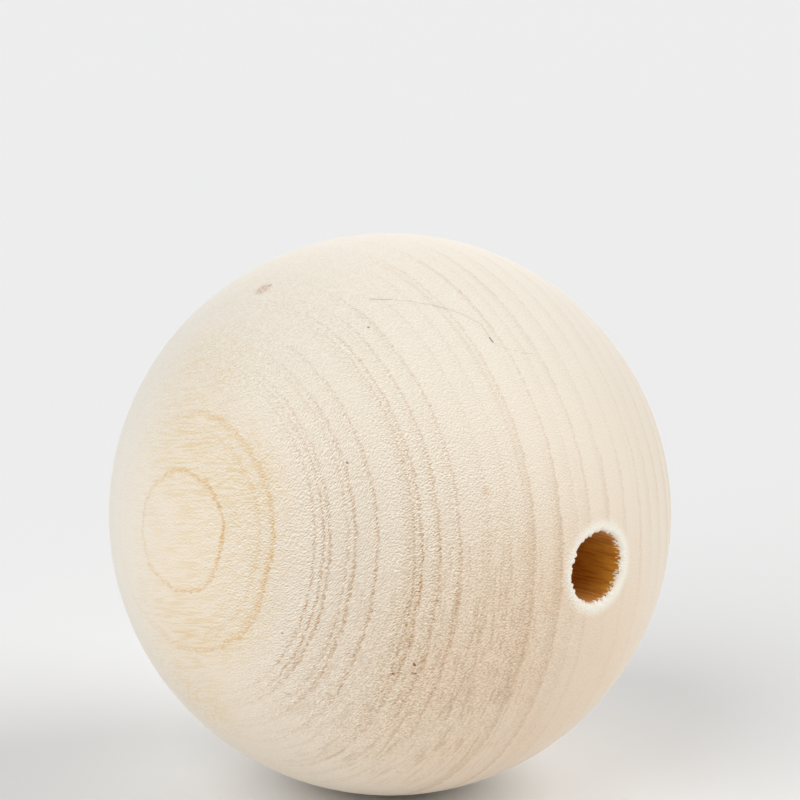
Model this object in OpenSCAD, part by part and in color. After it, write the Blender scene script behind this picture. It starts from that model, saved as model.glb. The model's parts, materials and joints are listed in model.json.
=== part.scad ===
// Turned wooden ball with a hole drilled through it along the grain.
// The origin is the centre of the ball. The hole lies along X, and +Z is up.

/* [Ball] */
// Diameter of the turned ball
ball_d = 80; // [40:1:120]

/* [Hole] */
// Diameter of the hole drilled through the middle of the ball
hole_d = 10; // [4:0.5:20]
// Radius of the rounding where the hole comes out of the ball
mouth_r = 0.8; // [0.2:0.1:2]

/* [Hidden] */

// Facets of a full circle
$fn = 180;

ball_r = ball_d / 2;
hole_r = hole_d / 2;

// The rounding stands a hair proud of the ball, so that the two surfaces meet in a clean edge
mouth_proud = mouth_r / 800;

// The rounding's centre is mouth_r from the hole's wall and from the ball's surface:
// this far out from the axis of the hole, and this far along it
mouth_out = hole_r + mouth_r;
mouth_along = sqrt(pow(ball_r + mouth_proud - mouth_r, 2) - pow(mouth_out, 2));

// Sharp corner between hole and ball that the rounding takes away, as seen in the half section
module mouth_corner() {
    past_ball = (ball_r + mouth_r) / (ball_r - mouth_r);
    difference() {
        polygon([
            [mouth_out, mouth_along],
            [mouth_out * past_ball, mouth_along * past_ball],
            [hole_r - mouth_r, mouth_along * past_ball],
            [hole_r - mouth_r, mouth_along]
        ]);
        translate([mouth_out, mouth_along])
            circle(r = mouth_r);
    }
}

// Half section through the axis of the hole: X is the distance from the axis, Y runs along it
module half_section() {
    difference() {
        intersection() {
            circle(r = ball_r);
            translate([hole_r, -ball_r])
                square([ball_r, ball_d]);
        }
        mouth_corner();
        mirror([0, 1])
            mouth_corner();
    }
}

// The ball in one piece, turned about the hole's axis and laid along X
module ball() {
    color([0.93, 0.86, 0.75])
        rotate([0, 90, 0])
            rotate_extrude()
                half_section();
}

ball();
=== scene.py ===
"""A turned ball of pale wood with a drilled hole, on a pale floor in soft studio light."""

import json
import math
import random

import bpy
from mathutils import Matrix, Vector
from mathutils.kdtree import KDTree


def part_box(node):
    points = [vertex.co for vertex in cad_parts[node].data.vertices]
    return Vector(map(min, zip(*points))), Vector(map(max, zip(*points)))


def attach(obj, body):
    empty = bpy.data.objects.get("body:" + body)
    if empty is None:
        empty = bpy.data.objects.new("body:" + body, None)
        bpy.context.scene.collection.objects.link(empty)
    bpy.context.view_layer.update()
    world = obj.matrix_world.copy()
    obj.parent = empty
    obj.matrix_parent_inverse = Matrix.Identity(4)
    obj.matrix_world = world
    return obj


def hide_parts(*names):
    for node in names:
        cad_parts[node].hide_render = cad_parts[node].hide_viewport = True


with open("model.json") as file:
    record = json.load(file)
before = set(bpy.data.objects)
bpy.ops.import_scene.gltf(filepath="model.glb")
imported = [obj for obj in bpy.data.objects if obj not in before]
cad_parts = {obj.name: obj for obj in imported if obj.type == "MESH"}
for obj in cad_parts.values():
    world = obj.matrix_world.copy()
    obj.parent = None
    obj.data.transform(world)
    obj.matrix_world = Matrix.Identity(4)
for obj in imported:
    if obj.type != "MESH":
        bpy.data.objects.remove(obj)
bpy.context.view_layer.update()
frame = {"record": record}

MM = 0.001

# Sizes of the ball and its hole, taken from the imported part, in metres
LOW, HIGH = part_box("ball")
HOLE = frame["record"]["mounts"][0]["dims"]
BALL_R = (HIGH.y - LOW.y) / 2
HOLE_R = HOLE["r_mm"] * MM
WALL_END = HOLE["length_mm"] * MM / 2
MOUTH_R = (HIGH.x - LOW.x) / 2 - WALL_END


# Camera

# The photograph's view: its frame, the lens, where the ball lies in the frame and the side it is seen from
FRAME_PX = 800
SENSOR_MM = 36
LENS_MM = 150
BALL_CENTRE_PX = (390.0, 513.5)
BALL_RADIUS_PX = 280.9
VIEW_AZIMUTH = math.radians(45.0)
VIEW_ELEVATION = math.radians(15.1)

# Nearest and farthest that the camera sees, in metres
SEEN_FROM = 0.01
SEEN_TO = 20


def direction(azimuth, elevation):
    """The direction that is turned from -Y towards +X by one angle and raised by the other, in radians."""
    level = math.cos(elevation)
    return Vector((math.sin(azimuth) * level, -math.cos(azimuth) * level, math.sin(elevation)))


class Eye:
    """Where the camera stands and looks, and what it sees at a pixel of the photograph."""

    def __init__(self):
        self.focal_px = FRAME_PX * LENS_MM / SENSOR_MM
        back = direction(VIEW_AZIMUTH, VIEW_ELEVATION)
        distance = BALL_R * math.hypot(1, self.focal_px / BALL_RADIUS_PX)
        self.place = back * distance
        metres_per_px = distance / self.focal_px
        right = back.cross(Vector((0, 0, -1))).normalized()
        up = back.cross(right)
        px_right = FRAME_PX / 2 - BALL_CENTRE_PX[0]
        px_up = BALL_CENTRE_PX[1] - FRAME_PX / 2
        aim = (right * px_right + up * px_up) * metres_per_px
        self.forward = (aim - self.place).normalized()
        self.right = self.forward.cross(Vector((0, 0, 1))).normalized()
        self.up = self.right.cross(self.forward)

    def on_ball(self, pixel):
        """The point of the ball's surface, in metres, that the photograph shows at a pixel."""
        across = pixel[0] - FRAME_PX / 2
        above = FRAME_PX / 2 - pixel[1]
        ray = (self.forward * self.focal_px + self.right * across + self.up * above).normalized()
        nearest = -self.place.dot(ray)
        half_chord = math.sqrt(BALL_R ** 2 - (self.place + ray * nearest).length_squared)
        return self.place + ray * (nearest - half_chord)


EYE = Eye()


def add_camera():
    bpy.ops.object.camera_add(location=EYE.place)
    camera = bpy.context.object
    camera.data.sensor_width = SENSOR_MM
    camera.data.lens = LENS_MM
    camera.data.clip_start = SEEN_FROM
    camera.data.clip_end = SEEN_TO
    camera.rotation_mode = "QUATERNION"
    camera.rotation_quaternion = EYE.forward.to_track_quat("-Z", "Y")
    bpy.context.scene.camera = camera


# Shader nodes

class Value:
    """A socket that gives a number, a colour or a vector. Arithmetic on numbers adds Math nodes."""

    def __init__(self, finish, socket):
        self.finish = finish
        self.socket = socket

    def output(self, name):
        """Another output of the same node."""
        return Value(self.finish, self.socket.node.outputs[name])

    def __add__(self, other):
        return self.finish.maths("ADD", self, other)

    def __sub__(self, other):
        return self.finish.maths("SUBTRACT", self, other)

    def __rsub__(self, other):
        return self.finish.maths("SUBTRACT", other, self)

    def __mul__(self, other):
        return self.finish.maths("MULTIPLY", self, other)

    def __truediv__(self, other):
        return self.finish.maths("DIVIDE", self, other)

    def __abs__(self):
        return self.finish.maths("ABSOLUTE", self)

    __radd__ = __add__
    __rmul__ = __mul__


class Finish:
    """The node tree of one material."""

    def __init__(self, name):
        self.material = bpy.data.materials.new(name)
        self.material.use_nodes = True
        self.tree = self.material.node_tree
        self.tree.nodes.clear()

    def node(self, kind, settings=None, sockets=None, output=0):
        """Adds a node: settings, then sockets' values or links. Gives one of its outputs, if it has any."""
        made = self.tree.nodes.new(kind)
        for name, setting in (settings or {}).items():
            if name == "stops":
                self.set_stops(made.color_ramp, setting)
            else:
                setattr(made, name, setting)
        for name, value in (sockets or {}).items():
            if isinstance(value, Value):
                self.tree.links.new(value.socket, made.inputs[name])
            else:
                made.inputs[name].default_value = value
        return Value(self, made.outputs[output]) if made.outputs else None

    @staticmethod
    def set_stops(ramp, stops):
        """Gives a ramp its stops: pairs of place and grey level."""
        while len(ramp.elements) < len(stops):
            ramp.elements.new(1.0)
        for element, (place, level) in zip(ramp.elements, stops):
            element.position = place
            element.color = (level, level, level, 1)

    def maths(self, operation, *values):
        return self.node("ShaderNodeMath", {"operation": operation}, dict(enumerate(values)))

    def larger(self, first, second):
        return self.maths("MAXIMUM", first, second)

    def vector(self, x, y, z):
        return self.node("ShaderNodeCombineXYZ", {}, {"X": x, "Y": y, "Z": z})

    def fade(self, value, start, end):
        """Runs smoothly from 0 where the value is at start to 1 where it is at end."""
        limits = {"Value": value, "From Min": start, "From Max": end}
        return self.node("ShaderNodeMapRange", {"interpolation_type": "SMOOTHSTEP"}, limits)

    def noise(self, place, per_mm, detail=2.0, rough=0.5):
        """Cloudy noise between 0 and 1, about a half on average."""
        settings = {"noise_dimensions": "3D"}
        sockets = {"Vector": place, "Scale": per_mm, "Detail": detail, "Roughness": rough}
        return self.node("ShaderNodeTexNoise", settings, sockets)

    def mix(self, factor, first, second, blend="MIX"):
        """Mixes two colours, from the first at 0 to the second at 1."""
        settings = {"data_type": "RGBA", "blend_type": blend}
        return self.node("ShaderNodeMix", settings, {0: factor, 6: first, 7: second}, output=2)

    def surface(self, **sockets):
        """Ends the tree in a Principled shader."""
        named = {name.replace("_", " "): value for name, value in sockets.items()}
        shader = self.node("ShaderNodeBsdfPrincipled", {}, named, output="BSDF")
        self.node("ShaderNodeOutputMaterial", {}, {"Surface": shader})


def colour(red, green, blue):
    """A colour given as it looks on screen, 0 to 255, as a shader's linear colour."""
    def linear(level):
        share = level / 255
        return share / 12.92 if share <= 0.04045 else ((share + 0.055) / 1.055) ** 2.4
    return (linear(red), linear(green), linear(blue), 1)


def at_least(low, share):
    """Lifts a share that runs from 0 to 1, so that it runs from low to 1."""
    return low + (1 - low) * share


# Wood

# In this section a pair of depths, places, reaches or levels says where something comes in: it is nothing
# at the first and full at the second. Depths are towards the bark, which is the -Y side, X runs along the
# hole and Z is up, all in millimetres from the ball's centre. A reach is in millimetres round a place or
# past a line. Levels are those of a pattern, which runs from 0 to 1.

# Growth years: the depth of each dark line, and how dark it is
YEARS = (
    (-42.0, 0.5), (-38.4, 0.4), (-34.0, 0.6), (-29.5, 0.4), (-26.0, 0.5), (-22.2, 0.4), (-18.0, 0.3),
    (-14.6, 0.2), (-11.5, 0.35), (-7.3, 0.25), (-3.5, 0.35), (0.4, 0.5), (2.8, 0.25), (5.5, 0.6),
    (10.0, 0.5), (10.9, 0.4), (13.4, 0.25), (16.2, 0.25), (20.0, 0.7), (22.4, 0.8), (24.4, 1.0),
    (25.1, 0.9), (28.8, 0.8), (30.8, 0.85), (31.4, 0.6), (32.8, 0.75), (33.3, 0.85), (33.9, 0.75),
    (36.8, 1.0), (37.6, 0.4), (39.4, 0.8), (42.0, 0.5),
)


class Years:
    """The growth rings at a depth in the wood: which year it is, and how far off the nearest lines are."""

    def __init__(self, wood, depth):
        self.wood = wood
        lines = [line for line, dark in YEARS]
        self.last = len(lines) - 1
        span = lines[-1] - lines[0]
        places = [(line - lines[0]) / span for line in lines]
        levels = [number / self.last for number in range(self.last + 1)]
        gaps = [(high - low) / span for low, high in zip(lines, lines[1:])]
        count = self.ramp(places, levels, (depth - lines[0]) / span) * self.last
        self.number = wood.maths("FLOOR", count)
        phase = wood.maths("FRACT", count)
        gap = self.by_number(gaps + gaps[-1:], self.number) * span
        self.after = phase * gap
        self.before = gap - self.after

    def ramp(self, places, levels, value):
        return self.wood.node("ShaderNodeValToRGB", {"stops": list(zip(places, levels))}, {"Fac": value})

    def by_number(self, levels, number):
        places = [index / self.last for index in range(self.last + 1)]
        return self.ramp(places, levels, number / self.last)

    def darkness(self, number):
        return self.by_number([dark for line, dark in YEARS], number)


# Lie of the growth rings: how they lean and curve over the ball, how they wander, how fine the clouds are
# that mottle them, and where they lie so flat in the surface that they show as loops
RING_LEAN = 0.03
RING_LEAN_INWARD = 0.00225
RING_LEAN_ALONG = 0.034
RING_CURVE = 0.0011
RING_CURVE_UPWARD = 0.000022
WANDER_PER_MM = 0.05
WAVER_PER_MM = 0.6
WAVER = 0.3
CLOUDS_PER_MM = 0.07
LOOP_DEPTHS = (34.6, 36.0)

# Slew of the fibres away from the hole's line, in radians: near the bark, and how much more further in
SLEW = 0.19
SLEW_MORE = 0.30
SLEW_DEPTHS = (38.0, 27.0)

# Patterns of the fibres: how much each is packed along them, towards the bark and across them, so that a
# small number draws it out, how fine it is per millimetre, and its detail
PORES = ((0.42, 0.55, 1.0), 6.0, 1.0)
STREAKS = ((0.08, 0.6, 1.0), 2.6, 2.0)
THREADS = ((0.075, 0.4, 1.0), 3.4, 2.0)
ROWS = ((0.08, 1.0, 0.12), 2.4, 2.0)
LAYERS = ((0.012, 1.0, 0.03), 1.5, 2.0)
BEADS_PER_MM = 1.5
BEADS_DETAIL = 1.0
DASH_LEVELS = (0.36, 0.66)

# Raised grain: how much there is everywhere, and where there is more: a pixel of the photograph, its
# reach and how much more. It sets both the relief and the painted light and shade of the grain.
GRAIN = 0.14
GRAIN_SPOTS = (
    ((398, 605), (33.0, 14.0), 0.66),
    ((350, 440), (42.0, 14.0), 0.22),
)

# How far the fibres fray the rings, in millimetres over a pattern's whole run, and the least slope of a
# ring
FRAY_STREAKS = 0.7
FRAY_PORES = 0.5
FRAY_BEADS = 0.7
FRAY_BEADS_LESS_IN_LOOPS = 0.4
FRAY_THREADS_IN_LOOPS = 0.5
LEAST_SLOPE = 0.02

# Where the rings show: on the hole's side, less towards the top, and less low down unless they are far
# from the bark. The loops reach further round and up, and the inner one shows all round. Low down past
# the centre it is quiet. The clouds make all of it uneven.
HOLE_SIDE_X = (2.0, 16.0)
LOOPS_FURTHER_X = 13.0
FAR_SIDE_LEAST = 0.15
TOP_FROM_Z = 24.0
TOP_TO_Z = -4.0
LOOPS_FURTHER_Z = 10.0
TOP_LEAST = 0.42
LOW_Z = (-24.0, -5.0)
LOW_DEPTHS = (18.0, 12.0)
LOW_LEAST = 0.3
INNER_LOOP_DEPTHS = (38.0, 39.0)
INNER_LOOP_SHARE = 0.5
QUIET_DEPTHS = (4.0, 0.0)
QUIET_Z = (8.0, -8.0)
QUIET_SHARE = 0.75
CLOUDED = 0.5

# Where the lines are soft, and how far the brown haze reaches from a line
SOFT_DEPTHS = (20.0, 14.0)
SOFT_Z = (16.0, 4.0)
HAZE_REACH = (2.8, 0.2)


class PaleWood(Finish):
    """The ball's wood: the depth of a point, and the patterns that fibres and growth rings make there."""

    def __init__(self):
        super().__init__("pale_wood")
        metres = self.node("ShaderNodeTexCoord", {}, {}, output="Object")
        self.place = self.node("ShaderNodeVectorMath", {"operation": "SCALE"}, {0: metres, "Scale": 1 / MM})
        self.x = self.node("ShaderNodeSeparateXYZ", {}, {0: self.place}, output="X")
        self.y = self.x.output("Y")
        self.z = self.x.output("Z")
        self.clouds = self.noise(self.place, CLOUDS_PER_MM)
        self.lay_rings()
        self.lay_fibres()
        self.count_years()
        self.show_years()

    def spot(self, pixel, start, end):
        """Comes in round the point of the ball that the photograph shows at a pixel."""
        ends = {0: self.place, 1: EYE.on_ball(pixel) / MM}
        away = self.node("ShaderNodeVectorMath", {"operation": "DISTANCE"}, ends, output="Value")
        return self.fade(away, start, end)

    def lay_rings(self):
        """Finds the depth of a point: the rings are nearly flat, lean a little and wander a little."""
        wander = self.noise(self.place, WANDER_PER_MM) - 0.5
        waver = self.noise(self.place, WAVER_PER_MM) - 0.5
        lean = self.z * (RING_LEAN - RING_LEAN_INWARD * self.y) - RING_LEAN_ALONG * self.x
        curve = self.z * self.z * (RING_CURVE - RING_CURVE_UPWARD * self.z)
        self.depth = lean + curve - self.y + wander + WAVER * waver
        self.loops = self.fade(self.depth, *LOOP_DEPTHS)

    def drawn_out(self, pattern, inward, shift=0.0):
        """A pattern that follows the fibres, seen a little to one side of them if it is shifted."""
        (along, depth, across), per_mm, detail = pattern
        place = self.vector(self.along * along, inward * depth, self.across * across - shift)
        return self.noise(place, per_mm, detail)

    def lay_fibres(self):
        """Lays the fibres nearly along the hole by the bark, slewed further in, with their patterns."""
        slew = SLEW + SLEW_MORE * self.fade(self.depth, *SLEW_DEPTHS)
        cosine = self.maths("COSINE", slew)
        sine = self.maths("SINE", slew)
        self.along = self.x * cosine + self.z * sine
        self.across = self.z * cosine - self.x * sine
        self.pores = self.drawn_out(PORES, self.y)
        self.streaks = self.drawn_out(STREAKS, self.y)
        self.threads = self.drawn_out(THREADS, self.y)
        self.beads = self.noise(self.place, BEADS_PER_MM, BEADS_DETAIL)
        self.dashes = self.fade(self.pores, *DASH_LEVELS)
        self.raised = GRAIN
        for pixel, reach, more in GRAIN_SPOTS:
            self.raised = self.raised + more * self.spot(pixel, *reach)

    def count_years(self):
        """Counts the years at a point, and measures along the surface how far off the nearest lines are."""
        flat = self.depth / (BALL_R / MM)
        slope = self.maths("SQRT", self.larger(1.0 - flat * flat, LEAST_SLOPE))
        beads = FRAY_BEADS - FRAY_BEADS_LESS_IN_LOOPS * self.loops
        fray = FRAY_STREAKS * (self.streaks - 0.5) + FRAY_PORES * (self.pores - 0.5)
        fray = fray + beads * (self.beads - 0.5) + FRAY_THREADS_IN_LOOPS * self.loops * (self.threads - 0.5)
        years = Years(self, self.depth + slope * fray)
        self.after = years.after / slope
        self.before = years.before / slope
        self.dark = years.darkness(years.number)
        self.next_dark = years.darkness(years.number + 1)

    def show_years(self):
        """Finds where the rings show and where they are soft, and the haze that follows each line."""
        self.hole_side = self.fade(self.x + LOOPS_FURTHER_X * self.loops, *HOLE_SIDE_X)
        top = self.fade(self.z, TOP_FROM_Z + LOOPS_FURTHER_Z * self.loops, TOP_TO_Z)
        low = self.larger(self.fade(self.z, *LOW_Z), self.fade(self.depth, *LOW_DEPTHS))
        inner_loop = self.fade(self.depth, *INNER_LOOP_DEPTHS)
        quiet = self.fade(self.depth, *QUIET_DEPTHS) * self.fade(self.z, *QUIET_Z)
        upright = at_least(TOP_LEAST, top) * at_least(LOW_LEAST, low)
        shown = at_least(FAR_SIDE_LEAST, self.hole_side) * upright + INNER_LOOP_SHARE * inner_loop
        self.shown = shown * (CLOUDED + self.clouds) * (1.0 - QUIET_SHARE * quiet)
        self.soft = self.fade(self.depth, *SOFT_DEPTHS) * self.fade(self.z, *SOFT_Z)
        self.haze = self.fade(self.after, *HAZE_REACH) * self.dark * (1.0 - self.loops)


# Ground of the wood: pale, honey streaks in the loops and up the left side, a tinge low down by the hole,
# and whiter towards the far mouth and the top, which is a painted sheen of the light
PALE = colour(244, 231, 212)
HONEY = colour(237, 215, 176)
TINGE = colour(242, 217, 189)
PAINTED_SHEEN_WHITE = colour(242, 235, 222)
HONEY_DEPTHS = (34.5, 37.5)
HONEY_X = (-24.0, -6.0)
HONEY_LEFT_DEPTHS = (27.0, 32.0)
HONEY_LEFT_X = (8.0, -2.0)
HONEY_LEFT_SHARE = 0.8
HONEY_MIDDLE_Z = 3.0
HONEY_MIDDLE_REACH = (4.0, 12.0)
HONEY_MIDDLE_LEAST = 0.6
THREAD_LEVELS = (0.45, 0.62)
THREAD_LEAST = 0.15
TINGE_PX = (525, 690)
TINGE_REACH = (34.0, 10.0)
TINGE_LEAST = 0.25
PAINTED_SHEEN_X = (2.0, -22.0)
PAINTED_SHEEN_Z = (12.0, 34.0)
PAINTED_SHEEN_TOP_SHARE = 0.6


def ground_tone(wood):
    left = HONEY_LEFT_SHARE * wood.fade(wood.depth, *HONEY_LEFT_DEPTHS) * wood.fade(wood.x, *HONEY_LEFT_X)
    honey = wood.larger(wood.fade(wood.depth, *HONEY_DEPTHS), left) * wood.fade(wood.x, *HONEY_X)
    off_middle = wood.fade(abs(wood.z - HONEY_MIDDLE_Z), *HONEY_MIDDLE_REACH)
    threads = at_least(THREAD_LEAST, wood.fade(wood.threads, *THREAD_LEVELS))
    tone = wood.mix(honey * at_least(HONEY_MIDDLE_LEAST, off_middle) * threads, PALE, HONEY)
    tone = wood.mix(wood.spot(TINGE_PX, *TINGE_REACH) * (TINGE_LEAST + wood.clouds), tone, TINGE)
    # Painted sheen of the light: whiter towards the far mouth and the top
    top = PAINTED_SHEEN_TOP_SHARE * wood.fade(wood.z, *PAINTED_SHEEN_Z)
    return wood.mix(wood.larger(wood.fade(wood.x, *PAINTED_SHEEN_X), top), tone, PAINTED_SHEEN_WHITE)


# Brown bands in the haze of the lines, stronger far from the bark and weaker near it, with fine rows
# between
BAND_TONE = colour(204, 174, 134)
BAND_SHARE = 0.38
BAND_MORE = 0.25
BAND_MORE_DEPTHS = (15.0, 10.0)
BAND_LESS = 0.22
BAND_LESS_DEPTHS = (26.0, 29.0)
LAYER_LEVELS = (0.3, 0.65)
ROW_SHARE = 0.48
ROW_LEVELS = (0.49, 0.67)
ROW_DEPTHS = (34.5, 31.0)
ROW_FULL_DEPTHS = (28.0, 24.0)
ROW_FULL_LEAST = 0.4
ROW_DEEP_DEPTHS = (4.0, 12.0)
ROW_Z = (16.0, -6.0)
ROW_LOW_Z = (-35.0, -25.0)
ROW_LOW_LEAST = 0.25


def add_bands(wood, tone):
    share = BAND_SHARE + BAND_MORE * wood.fade(wood.depth, *BAND_MORE_DEPTHS)
    share = share - BAND_LESS * wood.fade(wood.depth, *BAND_LESS_DEPTHS)
    layers = wood.fade(wood.drawn_out(LAYERS, wood.depth), *LAYER_LEVELS)
    bands = share * wood.haze * layers * wood.shown
    rows = ROW_SHARE * wood.fade(wood.drawn_out(ROWS, wood.depth), *ROW_LEVELS)
    depths = wood.fade(wood.depth, *ROW_DEPTHS) * wood.fade(wood.depth, *ROW_DEEP_DEPTHS)
    depths = depths * at_least(ROW_FULL_LEAST, wood.fade(wood.depth, *ROW_FULL_DEPTHS))
    heights = wood.fade(wood.z, *ROW_Z) * at_least(ROW_LOW_LEAST, wood.fade(wood.z, *ROW_LOW_Z))
    return wood.mix(wood.larger(bands, rows * depths * heights * wood.hole_side), tone, BAND_TONE)


# Dark year lines: sharp towards the pith, fading towards the bark, wider in the loops, and broken into dots
LINE_BROWN = colour(196, 149, 98)
LINE_ORANGE = colour(227, 184, 120)
LINE_SHARE = 0.62
LINE_LESS_IN_LOOPS = 0.10
LINE_LESS_IF_SOFT = 0.30
LINE_CORE = 0.10
LINE_REACH = 0.55
LINE_REACH_IN_LOOPS = 0.6
LINE_REACH_IF_SOFT = 0.9
EDGE_REACH = 0.15
EDGE_REACH_IN_LOOPS = 0.3
DOT_LEAST = 0.15
DOT_SHARE = 0.7
BEAD_LEVELS = (0.35, 0.65)


def add_lines(wood, tone):
    reach = LINE_REACH + LINE_REACH_IN_LOOPS * wood.loops + LINE_REACH_IF_SOFT * wood.soft
    line = wood.fade(wood.after, reach, LINE_CORE) * wood.dark
    edge = wood.fade(wood.before, EDGE_REACH + EDGE_REACH_IN_LOOPS * wood.loops, 0.0) * wood.next_dark
    beads = wood.fade(wood.beads, *BEAD_LEVELS)
    dots = DOT_LEAST + DOT_SHARE * (1.0 - wood.dashes) + DOT_SHARE * beads
    share = LINE_SHARE - LINE_LESS_IN_LOOPS * wood.loops - LINE_LESS_IF_SOFT * wood.soft
    line_tone = wood.mix(wood.loops, LINE_BROWN, LINE_ORANGE)
    return wood.mix(share * wood.larger(line, edge) * dots * wood.shown, tone, line_tone)


# A small knot, speckled by the pores, and a faint smudge
KNOT_TONE = colour(200, 160, 130)
KNOT_PX = (263, 289)
KNOT_REACH = (1.7, 0.4)
KNOT_LEVELS = (0.40, 0.60)
KNOT_LEAST = 0.15
KNOT_SPECKLE = 0.75
SMUDGE_TONE = colour(222, 174, 130)
SMUDGE_PX = (486, 491)
SMUDGE_REACH = (0.9, 0.1)
SMUDGE_SHARE = 0.35


def add_marks(wood, tone):
    speckle = KNOT_LEAST + KNOT_SPECKLE * wood.fade(wood.pores, *KNOT_LEVELS)
    tone = wood.mix(wood.spot(KNOT_PX, *KNOT_REACH) * speckle, tone, KNOT_TONE)
    return wood.mix(SMUDGE_SHARE * wood.spot(SMUDGE_PX, *SMUDGE_REACH), tone, SMUDGE_TONE)


# Pale torn rim round the mouths, and the wall that the drill has burnt brown, which begins in ragged teeth.
# Places are off the hole's axis or along it, in millimetres.
RIM_PALE = colour(253, 248, 234)
RIM_OFF = (HOLE_R / MM + 2.2, HOLE_R / MM + 0.6)
RIM_ALONG = (34.0, 37.0)
RIM_WANDER = 1.2
RIM_SHARE = 0.9
BURNT = colour(224, 157, 46)
BURNT_DARK = colour(192, 120, 22)
BURNT_OFF = (HOLE_R / MM + 0.6, HOLE_R / MM + 0.4)
BURNT_ALONG = WALL_END / MM + 0.55
BURNT_EDGE = (0.0, 0.15)
TOOTH_PACKING = 0.2
TEETH_PER_MM = 4.5
TEETH_DETAIL = 1.0
TOOTH_LEVELS = (0.40, 0.70)
CHAR_PACKING = 0.07
CHAR_PER_MM = 2.4
CHAR_DETAIL = 4.0
CHAR_ROUGH = 0.7
CHAR_LEVELS = (0.38, 0.64)


def add_hole(wood, tone):
    off_axis = wood.maths("SQRT", wood.y * wood.y + wood.z * wood.z)
    along = abs(wood.x)
    rim = wood.fade(off_axis + RIM_WANDER * (wood.clouds - 0.5), *RIM_OFF) * wood.fade(along, *RIM_ALONG)
    tone = wood.mix(RIM_SHARE * rim, tone, RIM_PALE)
    teeth = wood.noise(wood.vector(wood.x * TOOTH_PACKING, wood.y, wood.z), TEETH_PER_MM, TEETH_DETAIL)
    deep = BURNT_ALONG - along - wood.fade(teeth, *TOOTH_LEVELS)
    burnt = wood.fade(off_axis, *BURNT_OFF) * wood.fade(deep, *BURNT_EDGE)
    fibres = wood.vector(wood.x * CHAR_PACKING, wood.y, wood.z)
    char = wood.noise(fibres, CHAR_PER_MM, CHAR_DETAIL, CHAR_ROUGH)
    wall = wood.mix(wood.fade(char, *CHAR_LEVELS), BURNT, BURNT_DARK)
    return wood.mix(burnt, tone, wall)


# Brown of the cracks and pits, by the name of the attribute that marks them on the ball's points
CRACK_TONE = colour(138, 74, 24)
CUT_NAME = "cut"


def add_cuts(wood, tone):
    cut = wood.node("ShaderNodeAttribute", {"attribute_name": CUT_NAME}, {}, output="Fac")
    return wood.mix(cut, tone, CRACK_TONE)


# Painted light and shade of the raised grain, put into the wood's colour: how far across the fibres its
# painted lit side lies, in millimetres, how strong it is, and its colours, warm in the painted shade. Then
# the relief that it gives the surface, and how rough and shiny the wood is.
LIT_SIDE = 0.18
PAINTED_LIGHT_PORES = 1.25
PAINTED_LIGHT_STREAKS = 0.10
PAINTED_LIGHT_SHARE = 0.85
PAINTED_LIGHT_IN_HAZE = 0.35
PAINTED_SHADE_TINTS = {"Red": 0.85, "Green": 1.0, "Blue": 1.25}
RELIEF_STREAKS = 0.5
RELIEF_STRENGTH = 0.6
RELIEF_HEIGHT = 0.10 * MM
ROUGH = 0.58
ROUGH_STREAKS = 0.15
WOOD_SHINE = 0.3
WOOD_FUZZ = 0.2


# Paints light and shade into the colour: each pore lit on one side and shaded on the other, warm in the
# shade
def add_painted_grain_light(wood, tone):
    lit = PAINTED_LIGHT_PORES * (wood.pores - wood.drawn_out(PORES, wood.y, LIT_SIDE))
    strength = wood.raised * (PAINTED_LIGHT_SHARE + PAINTED_LIGHT_IN_HAZE * wood.haze)
    painted_light = strength * (lit + PAINTED_LIGHT_STREAKS * (wood.streaks - 0.5))
    shade = {name: 1.0 + share * painted_light for name, share in PAINTED_SHADE_TINTS.items()}
    return wood.mix(1.0, tone, wood.node("ShaderNodeCombineColor", {}, shade), blend="MULTIPLY")


def relief(wood):
    height = wood.raised * (wood.dashes + RELIEF_STREAKS * wood.streaks)
    sockets = {"Strength": RELIEF_STRENGTH, "Distance": RELIEF_HEIGHT, "Height": height}
    return wood.node("ShaderNodeBump", {}, sockets)


def pale_wood():
    wood = PaleWood()
    tone = ground_tone(wood)
    for add in (add_bands, add_lines, add_marks, add_hole, add_cuts, add_painted_grain_light):
        tone = add(wood, tone)
    wood.surface(
        Base_Color=tone,
        Roughness=ROUGH + ROUGH_STREAKS * wood.streaks,
        Normal=relief(wood),
        Specular_IOR_Level=WOOD_SHINE,
        Sheen_Weight=WOOD_FUZZ,
    )
    return wood.material


# Ball

# Faces of the globe round the hole's axis and along it, steps of a mouth's rounding, steps of the wall's
# start and their length, loops along the rest of the wall, how near the trimming plane a point counts as
# on it, and the angle between faces below which they look smooth
AROUND = 256
RINGS = 192
MOUTH_STEPS = 8
WALL_STEPS = 6
WALL_STEP = 0.3 * MM
WALL_LOOPS = 24
TRIM_TOLERANCE = 1e-7
SMOOTH_BELOW = math.radians(40)


def mouth_profile():
    """Half section of a mouth, as (along, off the axis) pairs: the rounding, then the wall's start."""
    off = HOLE_R + MOUTH_R
    outer = math.atan2(WALL_END, off)
    turn = (math.pi - outer) / MOUTH_STEPS
    angles = [outer + turn * step for step in range(MOUTH_STEPS + 1)]
    rounding = [(WALL_END + MOUTH_R * math.sin(angle), off + MOUTH_R * math.cos(angle)) for angle in angles]
    wall = [(WALL_END - WALL_STEP * step, HOLE_R) for step in range(1, WALL_STEPS + 1)]
    return rounding + wall


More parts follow.
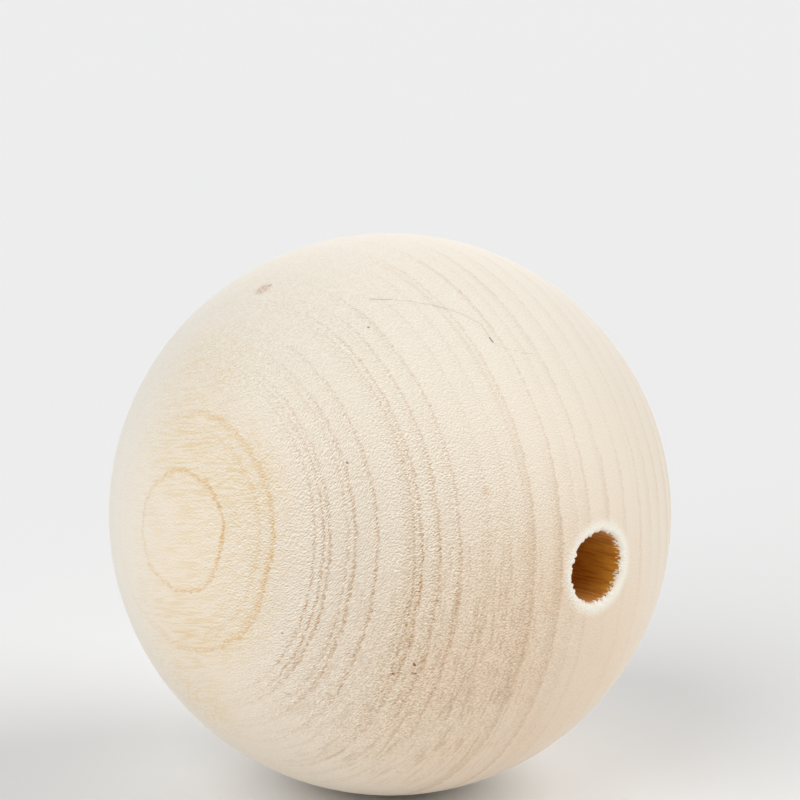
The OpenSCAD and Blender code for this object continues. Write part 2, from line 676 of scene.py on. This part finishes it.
def turned_ball():
    """The ball with its hole: a globe trimmed at both mouths, its edges drawn in to the hole and joined."""
    bpy.ops.object.select_all(action="DESELECT")
    bpy.ops.mesh.primitive_uv_sphere_add(
        segments=AROUND, ring_count=RINGS, radius=BALL_R, rotation=(0, math.radians(90), 0))
    ball = bpy.context.object
    ball.name = "turned_ball"
    bpy.ops.object.transform_apply()
    profile = mouth_profile()
    mouth = profile[0][0]
    bpy.ops.object.mode_set(mode="EDIT")
    for side in (-1, 1):
        bpy.ops.mesh.select_all(action="SELECT")
        bpy.ops.mesh.bisect(
            plane_co=(side * mouth, 0, 0), plane_no=(side, 0, 0),
            clear_outer=True, threshold=TRIM_TOLERANCE)
    bpy.ops.mesh.select_mode(type="EDGE")
    bpy.ops.mesh.select_all(action="DESELECT")
    bpy.ops.mesh.select_non_manifold()
    for (along, off), (next_along, next_off) in zip(profile, profile[1:]):
        bpy.ops.mesh.extrude_region()
        draw_in = (next_along / along, next_off / off, next_off / off)
        bpy.ops.transform.resize(value=draw_in, center_override=(0, 0, 0))
    bpy.ops.mesh.bridge_edge_loops(number_cuts=WALL_LOOPS)
    bpy.ops.mesh.select_all(action="SELECT")
    bpy.ops.mesh.normals_make_consistent(inside=False)
    bpy.ops.object.mode_set(mode="OBJECT")
    return ball


# Tears round the edges of the mouths: how far the edge is drawn in or out, how many tears of each kind
# there are, how wide they are in degrees, their seed, and how far off the hole's axis they begin and end
TEAR_DRAWS = (0.94, 0.955, 0.97, 0.985, 1.02)
TEARS = 16
TEAR_WIDTH = (3.0, 9.0)
TEAR_SEED = 5
TORN_FROM = HOLE_R + 0.05 * MM
TORN_TO = HOLE_R + MOUTH_R


def pick(mesh, kind, numbers):
    """Selects points or faces of the active mesh by their numbers, and goes into edit mode."""
    bpy.ops.object.mode_set(mode="EDIT")
    bpy.ops.mesh.select_mode(type=kind)
    bpy.ops.mesh.select_all(action="DESELECT")
    bpy.ops.object.mode_set(mode="OBJECT")
    elements = mesh.vertices if kind == "VERT" else mesh.polygons
    for number in numbers:
        elements[number].select = True
    bpy.ops.object.mode_set(mode="EDIT")


def tear_mouths(ball):
    """Makes the edges of both mouths ragged, as the drill has torn them."""
    chance = random.Random(TEAR_SEED)
    edge = []
    for vertex in ball.data.vertices:
        off_axis = math.hypot(vertex.co.y, vertex.co.z)
        if abs(vertex.co.x) > WALL_END and TORN_FROM < off_axis < TORN_TO:
            turn = math.degrees(math.atan2(vertex.co.z, vertex.co.y))
            edge.append((vertex.index, vertex.co.x > 0, turn))
    for draw in TEAR_DRAWS:
        torn = set()
        for tear in range(TEARS):
            mouth = chance.random() < 0.5
            middle = chance.uniform(-180, 180)
            half_width = chance.uniform(*TEAR_WIDTH) / 2
            for number, side, turn in edge:
                if side == mouth and abs(turn - middle) < half_width:
                    torn.add(number)
        pick(ball.data, "VERT", torn)
        bpy.ops.transform.resize(value=(1, draw, draw), center_override=(0, 0, 0))
        bpy.ops.object.mode_set(mode="OBJECT")


# Cuts: the crack, pits, scratches and specks, as the photograph shows them. Each has a path through its
# pixels, how strongly it shows, from 0 to 1, and its half width in millimetres.
CRACK = (
    (((370, 299), (392, 299.5)), 0.38, 0.14),
    (((392, 299.5), (409, 301), (432, 305)), 0.18, 0.13),
    (((432, 305), (448, 309)), 0.36, 0.13),
    (((448, 309), (464, 315), (481, 324), (489, 336)), 0.22, 0.13),
    (((489.5, 337.5), (493, 342)), 1.0, 0.14),
    (((494, 343), (501, 346.5)), 0.13, 0.13),
    (((503, 347.5), (509, 349)), 0.20, 0.13),
    (((514, 350.5), (517, 351)), 0.15, 0.13),
    (((522, 353), (532, 353.5)), 0.20, 0.13),
)
PITS = (
    (((414, 664), (415, 665.5)), 1.0, 0.22),
    (((392.5, 674), (394, 674)), 0.8, 0.22),
    (((411.5, 673), (416, 674)), 0.8, 0.16),
    (((269, 285.5), (271, 285)), 0.5, 0.25),
    (((282, 633), (282.6, 633.5)), 0.8, 0.15),
)
SCRATCHES = (
    (((284, 693), (291, 695)), 0.3, 0.16),
    (((301, 699), (306, 699.5)), 0.3, 0.16),
    (((396.5, 771.5), (401, 773)), 0.25, 0.15),
)
SPECKS = (
    (((368, 327), (368.6, 327.4)), 0.8, 0.18),
    (((347, 462.5), (347.6, 463)), 0.9, 0.20),
)
CUTS = CRACK + PITS + SCRATCHES + SPECKS

# How the cuts are made: the pixels between their points, how far they sink, how near them the faces are
# divided and how often, and how fast the brown comes in from their edges
CUT_STEP_PX = 0.7
CUT_DEEP = 0.03 * MM
CUT_REFINE = ((1.3 * MM, 3), (0.4 * MM, 2))
CUT_EDGE = 1.5


def cut_points():
    """Close points on the ball along every cut, with how strongly each shows and its half width."""
    points = []
    for path, strength, half_width in CUTS:
        for (x0, y0), (x1, y1) in zip(path, path[1:]):
            steps = math.ceil(math.hypot(x1 - x0, y1 - y0) / CUT_STEP_PX)
            for step in range(steps + 1):
                share = step / steps
                pixel = (x0 + (x1 - x0) * share, y0 + (y1 - y0) * share)
                points.append((EYE.on_ball(pixel), strength, half_width * MM))
    return points


def open_cuts(ball):
    """Opens the cuts: finer faces along them, whose middle points sink in and are marked for the finish."""
    points = cut_points()
    tree = KDTree(len(points))
    for number, (point, strength, half_width) in enumerate(points):
        tree.insert(point, number)
    tree.balance()

    def inside(vertex):
        """How far inside the nearest cut a point lies, from 0 to 1, and how strongly that cut shows."""
        nearest, number, away = tree.find(vertex.co)
        point, strength, half_width = points[number]
        return max(0, 1 - away / half_width), strength

    mesh = ball.data
    for reach, times in CUT_REFINE:
        pick(mesh, "FACE", [face.index for face in mesh.polygons if tree.find(face.center)[2] < reach])
        bpy.ops.mesh.subdivide(number_cuts=times, smoothness=1)
        bpy.ops.object.mode_set(mode="OBJECT")
    marks = mesh.attributes.new(CUT_NAME, "FLOAT", "POINT")
    for vertex, mark in zip(mesh.vertices, marks.data):
        share, strength = inside(vertex)
        mark.value = min(1, CUT_EDGE * share) * strength
    pick(mesh, "VERT", [vertex.index for vertex in mesh.vertices if inside(vertex)[0] > 0])
    bpy.ops.transform.shrink_fatten(value=-CUT_DEEP)
    bpy.ops.object.mode_set(mode="OBJECT")


# Studio

# The floor's size in metres, its colour and finish, the strength of the sky, and how wide each lamp looks
FLOOR_SIZE = 8.0
FLOOR_TONE = colour(237, 237, 237)
FLOOR_ROUGH = 0.9
FLOOR_SHINE = 0.1
SKY = 0.19
LAMP_SPREAD = math.radians(50)

# Lamps: the side they stand on, turned from the camera's side to its right, and their height, both in
# degrees, and their strength
LAMPS = {
    "key": (-45, 42, 1.50),
    "right": (90, 38, 1.63),
    "back": (180, 20, 1.06),
    "left": (-110, 20, 0.22),
    "front": (-15, 8, 0.41),
}


def add_floor():
    bpy.ops.object.select_all(action="DESELECT")
    bpy.ops.mesh.primitive_plane_add(size=FLOOR_SIZE, location=(0, 0, -BALL_R))
    floor = bpy.context.object
    floor.name = "floor"
    paper = Finish("paper")
    paper.surface(Base_Color=FLOOR_TONE, Roughness=FLOOR_ROUGH, Specular_IOR_Level=FLOOR_SHINE)
    floor.data.materials.append(paper.material)


def add_lamp(name, azimuth, elevation, strength):
    """A wide soft light from far off, as from a large window or screen."""
    away = direction(VIEW_AZIMUTH + math.radians(azimuth), math.radians(elevation))
    bpy.ops.object.light_add(type="SUN", location=away)
    lamp = bpy.context.object
    lamp.name = name
    lamp.data.energy = strength
    lamp.data.angle = LAMP_SPREAD
    lamp.rotation_mode = "QUATERNION"
    lamp.rotation_quaternion = (-away).to_track_quat("-Z", "Y")


def add_light():
    world = bpy.data.worlds.new("studio")
    bpy.context.scene.world = world
    world.use_nodes = True
    sky = world.node_tree.nodes["Background"]
    sky.inputs["Color"].default_value = (1, 1, 1, 1)
    sky.inputs["Strength"].default_value = SKY
    for name, (azimuth, elevation, strength) in LAMPS.items():
        add_lamp(name, azimuth, elevation, strength)
    bpy.context.scene.view_settings.view_transform = "Standard"


add_camera()
add_floor()
add_light()

ball = turned_ball()
tear_mouths(ball)
open_cuts(ball)
bpy.ops.object.shade_smooth_by_angle(angle=SMOOTH_BELOW)
ball.data.materials.append(pale_wood())
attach(ball, "root")
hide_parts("ball")
